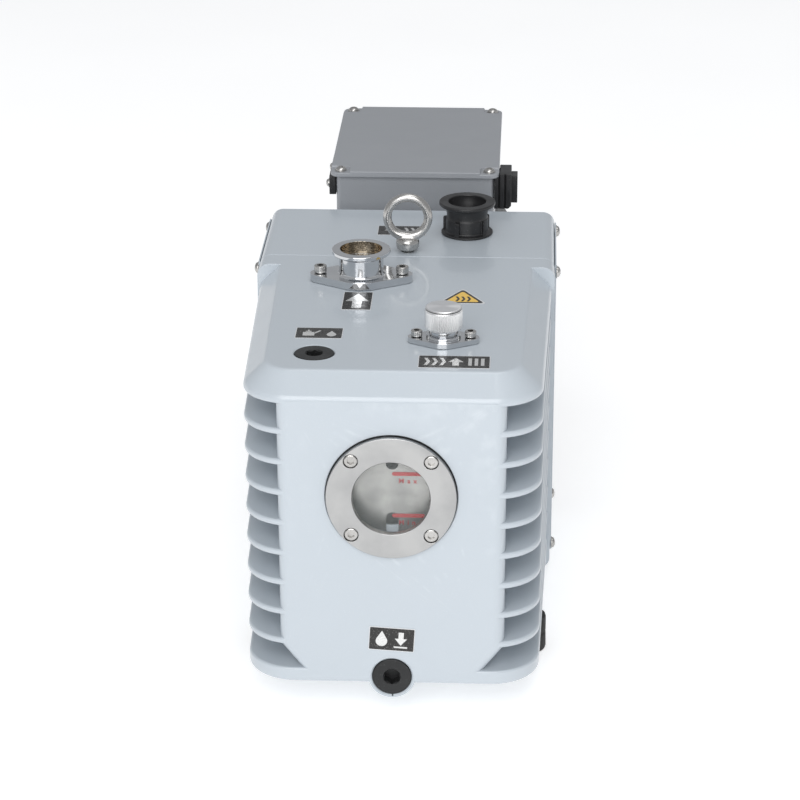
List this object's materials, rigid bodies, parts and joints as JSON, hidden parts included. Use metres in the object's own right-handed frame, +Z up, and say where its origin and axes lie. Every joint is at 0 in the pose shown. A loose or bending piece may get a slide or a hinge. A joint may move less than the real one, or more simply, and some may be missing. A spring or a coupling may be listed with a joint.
{
  "type": "rotary vane vacuum pump",
  "caption": "Oil-sealed rotary vane vacuum pump: finned oil casing with sight glass, small-flange inlet and exhaust, gas ballast knob, coupling housing and motor with terminal box.",
  "frame": {"origin": "on the ground, under the middle of the pump's overall box", "axes": "+Z up, -Y towards the front with the oil sight glass, +Y towards the motor, +X to the right of someone who faces the front"},
  "size_m": [0.2092, 0.5936, 0.2833],
  "materials": {
    "casing_paint": "gloss powder coat, very light blue grey",
    "grey_paint": "satin grey",
    "black_plastic": "black moulded plastic",
    "black_steel": "black oxide",
    "black_rubber": "matt black",
    "stainless_steel": "brushed",
    "polished_chrome": "polished",
    "knob_aluminium": "knurled and spun",
    "clear_glass": "clear",
    "cast_iron": "machined casting",
    "machine_steel": "ground",
    "vane_composite": "fibre composite"
  },
  "bodies": {
    "root": {"oil_casing": "casing_paint", "coupling_housing": "casing_paint", "side_guard_left": "casing_paint", "side_guard_right": "casing_paint", "terminal_box": "grey_paint", "terminal_box_lid": "grey_paint", "motor_housing": "grey_paint", "motor_front_shield": "grey_paint", "motor_rear_shield": "grey_paint", "motor_foot": "grey_paint", "fan_cowl": "black_plastic", "exhaust_port": "black_plastic", "power_inlet": "black_plastic", "power_switch_body": "black_plastic", "sight_gasket": "black_rubber", "front_foot_left": "black_rubber", "front_foot_right": "black_rubber", "rear_foot_left": "black_rubber", "rear_foot_right": "black_rubber", "sight_glass_ring": "stainless_steel", "oil_level_plate": "stainless_steel", "eye_bolt": "stainless_steel", "inlet_screen": "stainless_steel", "inlet_screw_1": "stainless_steel", "inlet_screw_2": "stainless_steel", "ballast_screw_1": "stainless_steel", "ballast_screw_2": "stainless_steel", "sight_screw_1": "stainless_steel", "sight_screw_2": "stainless_steel", "sight_screw_3": "stainless_steel", "sight_screw_4": "stainless_steel", "inlet_port": "polished_chrome", "ballast_flange": "polished_chrome", "sight_glass": "clear_glass", "high_vacuum_stator": "cast_iron", "low_vacuum_stator": "cast_iron", "middle_plate": "cast_iron", "front_plate": "cast_iron", "exhaust_valve": "machine_steel", "front_bearing": "machine_steel", "rear_bearing": "machine_steel", "motor_stator": "machine_steel"},
    "motor_shaft": {"motor_rotor": "machine_steel", "motor_fan": "black_plastic", "motor_coupling_hub": "cast_iron"},
    "pump_shaft": {"pump_rotor": "machine_steel", "pump_coupling_hub": "cast_iron", "coupling_spider": "black_rubber"},
    "vane_1": {"vane_1": "vane_composite"},
    "vane_2": {"vane_2": "vane_composite"},
    "vane_3": {"vane_3": "vane_composite"},
    "vane_4": {"vane_4": "vane_composite"},
    "ballast_stem": {"ballast_stem": "machine_steel"},
    "ballast_knob": {"ballast_knob": "knob_aluminium"},
    "oil_fill_seal": {"oil_fill_plug_seal": "black_rubber"},
    "oil_fill_plug": {"oil_fill_plug": "black_steel"},
    "oil_drain_seal": {"oil_drain_plug_seal": "black_rubber"},
    "oil_drain_plug": {"oil_drain_plug": "black_steel"},
    "power_button": {"power_button": "black_plastic"}
  },
  "joints": [
    {"name": "motor_spin", "type": "hinge", "parent": "root", "child": "motor_shaft", "pos_m": [0, 0.13675, 0.12], "axis": [0, 1, 0], "continuous": true},
    {"name": "pump_spin", "type": "hinge", "parent": "root", "child": "pump_shaft", "pos_m": [0, -0.11325, 0.12], "axis": [0, 1, 0], "continuous": true},
    {"name": "vane_1_slide", "type": "slide", "parent": "pump_shaft", "child": "vane_1", "axis": [1, 0, 0], "range_m": [0, 0.0036]},
    {"name": "vane_2_slide", "type": "slide", "parent": "pump_shaft", "child": "vane_2", "axis": [-1, 0, 0], "range_m": [0, 0.0036]},
    {"name": "vane_3_slide", "type": "slide", "parent": "pump_shaft", "child": "vane_3", "axis": [1, 0, 0], "range_m": [0, 0.0036]},
    {"name": "vane_4_slide", "type": "slide", "parent": "pump_shaft", "child": "vane_4", "axis": [-1, 0, 0], "range_m": [0, 0.0036]},
    {"name": "ballast_lift", "type": "slide", "parent": "root", "child": "ballast_stem", "axis": [0, 0, 1], "range_m": [0, 0.00125]},
    {"name": "ballast_turn", "type": "hinge", "parent": "ballast_stem", "child": "ballast_knob", "pos_m": [0.0309, -0.22855, 0.255], "axis": [0, 0, 1], "range_deg": [0, 360]},
    {"name": "oil_fill_lift", "type": "slide", "parent": "root", "child": "oil_fill_seal", "axis": [0, 0, 1], "range_m": [0, 0.00907]},
    {"name": "oil_fill_turn", "type": "hinge", "parent": "oil_fill_seal", "child": "oil_fill_plug", "pos_m": [-0.0512, -0.25045, 0.241], "axis": [0, 0, 1], "range_deg": [0, 1800]},
    {"name": "oil_drain_lift", "type": "slide", "parent": "root", "child": "oil_drain_seal", "axis": [0, -1, 0], "range_m": [0, 0.00907]},
    {"name": "oil_drain_turn", "type": "hinge", "parent": "oil_drain_seal", "child": "oil_drain_plug", "pos_m": [0, -0.29325, 0.0309], "axis": [0, -1, 0], "range_deg": [0, 1800]},
    {"name": "power_button_press", "type": "slide", "parent": "root", "child": "power_button", "axis": [-1, 0, 0], "range_m": [0, 0.0025], "stiffness_N_per_m": 300}
  ],
  "couplings": [
    {"joint": "pump_spin", "follows": "motor_spin", "ratio": 1},
    {"joint": "ballast_turn", "follows": "ballast_lift", "rad_per_m": 5026.5},
    {"joint": "oil_fill_turn", "follows": "oil_fill_lift", "rad_per_m": 3463.7},
    {"joint": "oil_drain_turn", "follows": "oil_drain_lift", "rad_per_m": 3463.7}
  ]
}
